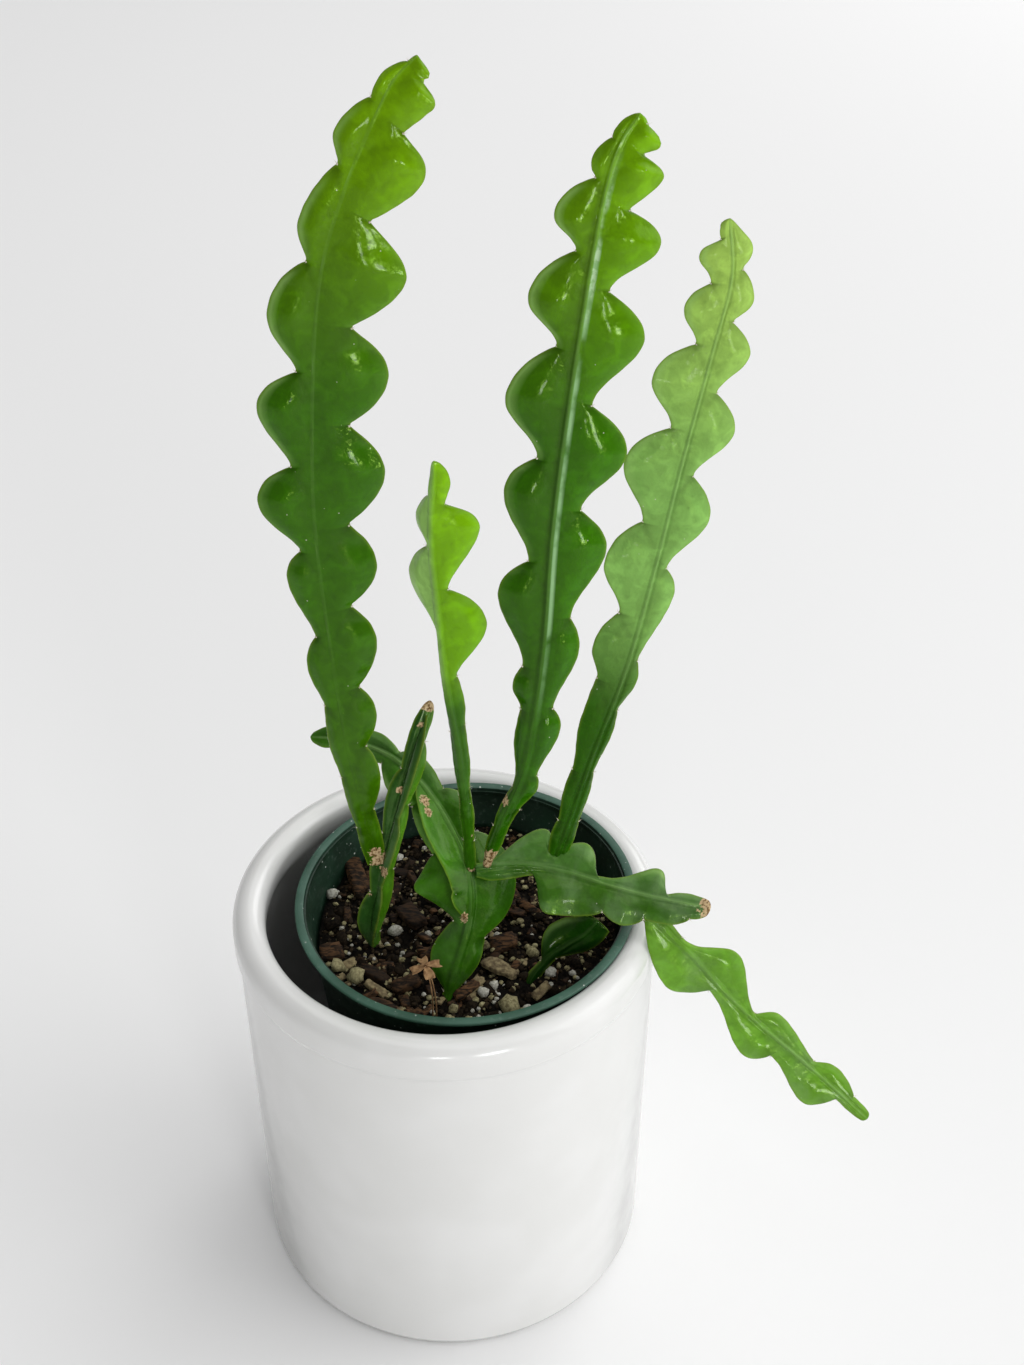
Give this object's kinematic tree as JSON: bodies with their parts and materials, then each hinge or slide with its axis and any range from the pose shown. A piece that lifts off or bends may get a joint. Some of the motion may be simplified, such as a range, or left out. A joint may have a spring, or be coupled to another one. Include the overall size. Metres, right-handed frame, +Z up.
{
  "type": "potted cactus",
  "caption": "Epiphytic cactus with flat zigzag stems, rooted in soil in a thin plastic pot that stands inside a plain glazed cylinder pot.",
  "frame": {"origin": "centre of the cover pot's flat base, on the surface it stands on", "axes": "+Z up, +X to the right and +Y away from the viewer, who sees the faces of the stems"},
  "size_m": [0.1948, 0.132, 0.3915],
  "materials": {
    "glazed_white": "gloss glaze",
    "green_plastic": "satin, dusty",
    "soil": "rough, damp",
    "stem_green": "waxy",
    "stem_pale": "waxy",
    "stem_old": "waxy, greyed",
    "dry_brown": "dry, matte"
  },
  "bodies": {
    "root": {"cover_pot": "glazed_white", "grower_pot": "green_plastic", "soil_mix": "soil", "tall_left_stem": "stem_green", "left_cutting": "stem_old", "young_stem": "stem_green", "tall_middle_stem": "stem_green", "right_stem": "stem_pale", "trailing_cutting": "stem_old", "hanging_stem": "stem_green", "mother_cutting": "stem_old", "low_blade": "stem_old", "dry_seedling": "dry_brown"}
  },
  "joints": []
}
